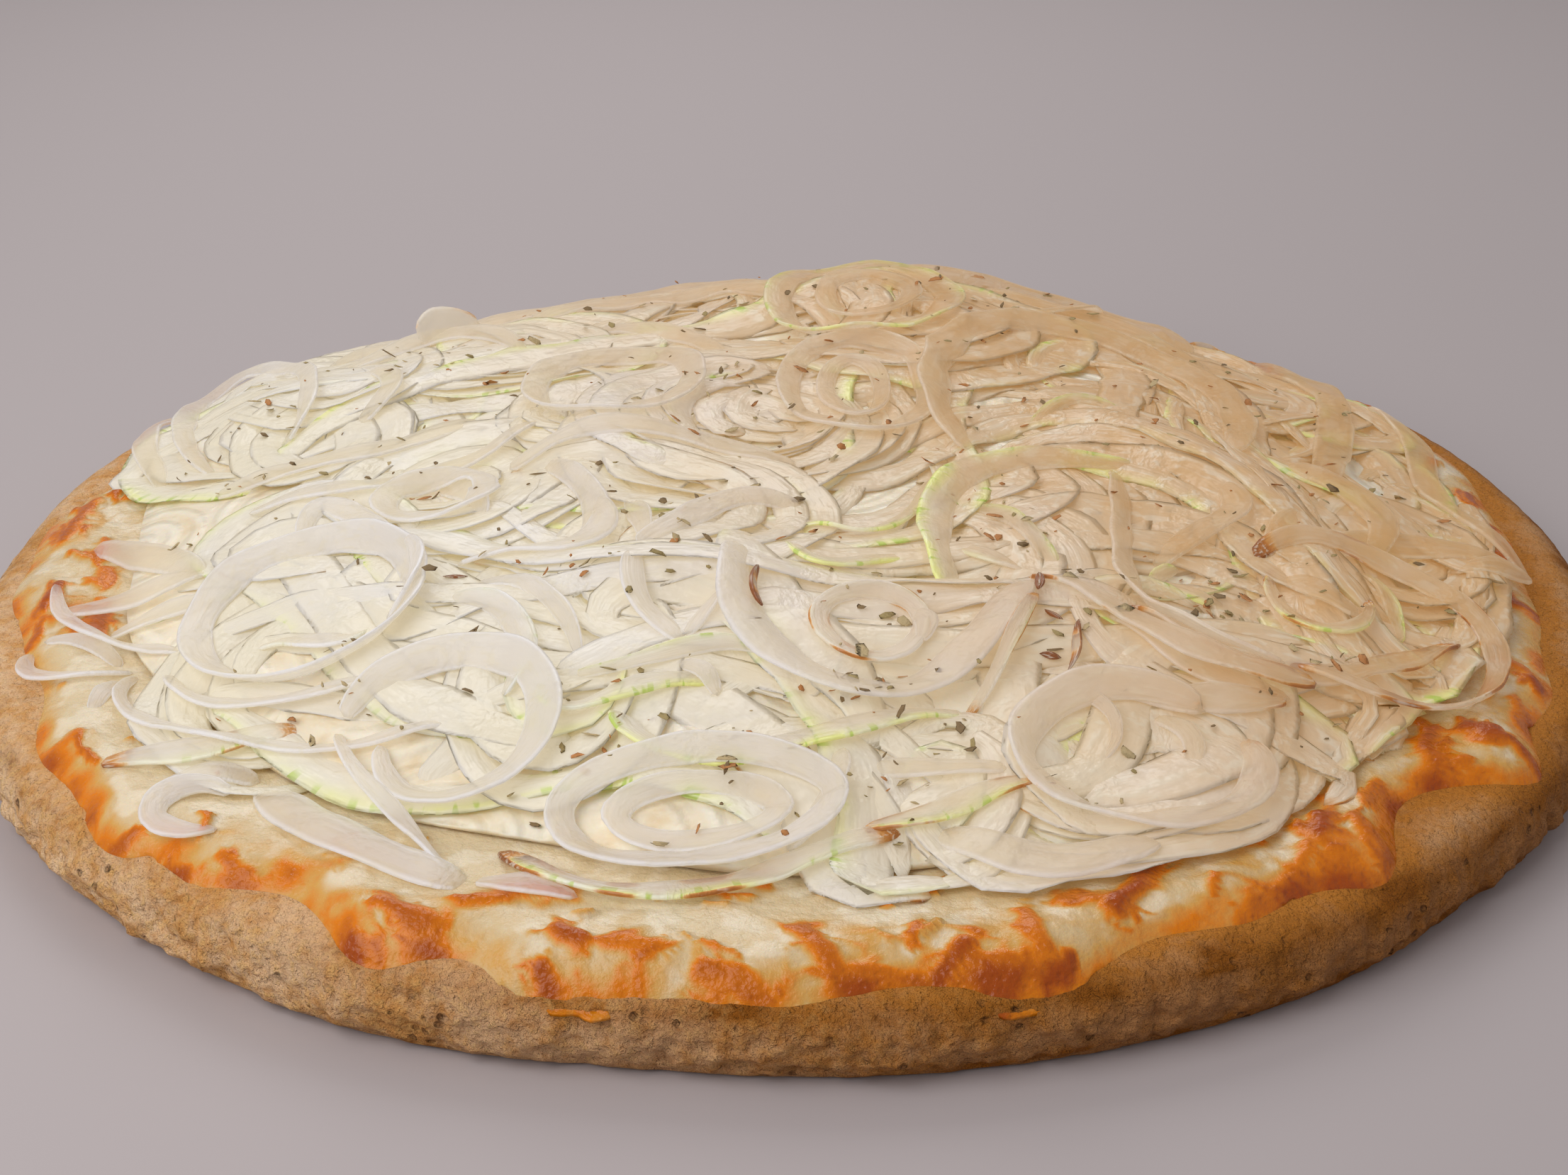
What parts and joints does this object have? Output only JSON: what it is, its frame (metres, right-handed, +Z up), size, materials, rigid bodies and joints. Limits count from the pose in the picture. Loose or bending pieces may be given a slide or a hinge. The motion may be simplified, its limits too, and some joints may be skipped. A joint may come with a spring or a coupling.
{
  "type": "fugazzetta",
  "caption": "Round onion and cheese flatbread with a rough golden side, a browned cheese margin and a broad heap of sliced onion.",
  "frame": {"origin": "centre of the bread's flat underside, on the surface it rests on", "axes": "+Z up through the heap of onion, +Y away from the viewer of the picture, +X to that viewer's right"},
  "size_m": [0.3213, 0.3211, 0.0423],
  "materials": {
    "dough": "matte",
    "cheese": "satin",
    "onions": "satin"
  },
  "bodies": {
    "root": {"dough": "dough", "cheese": "cheese", "onions": "onions"}
  },
  "joints": []
}
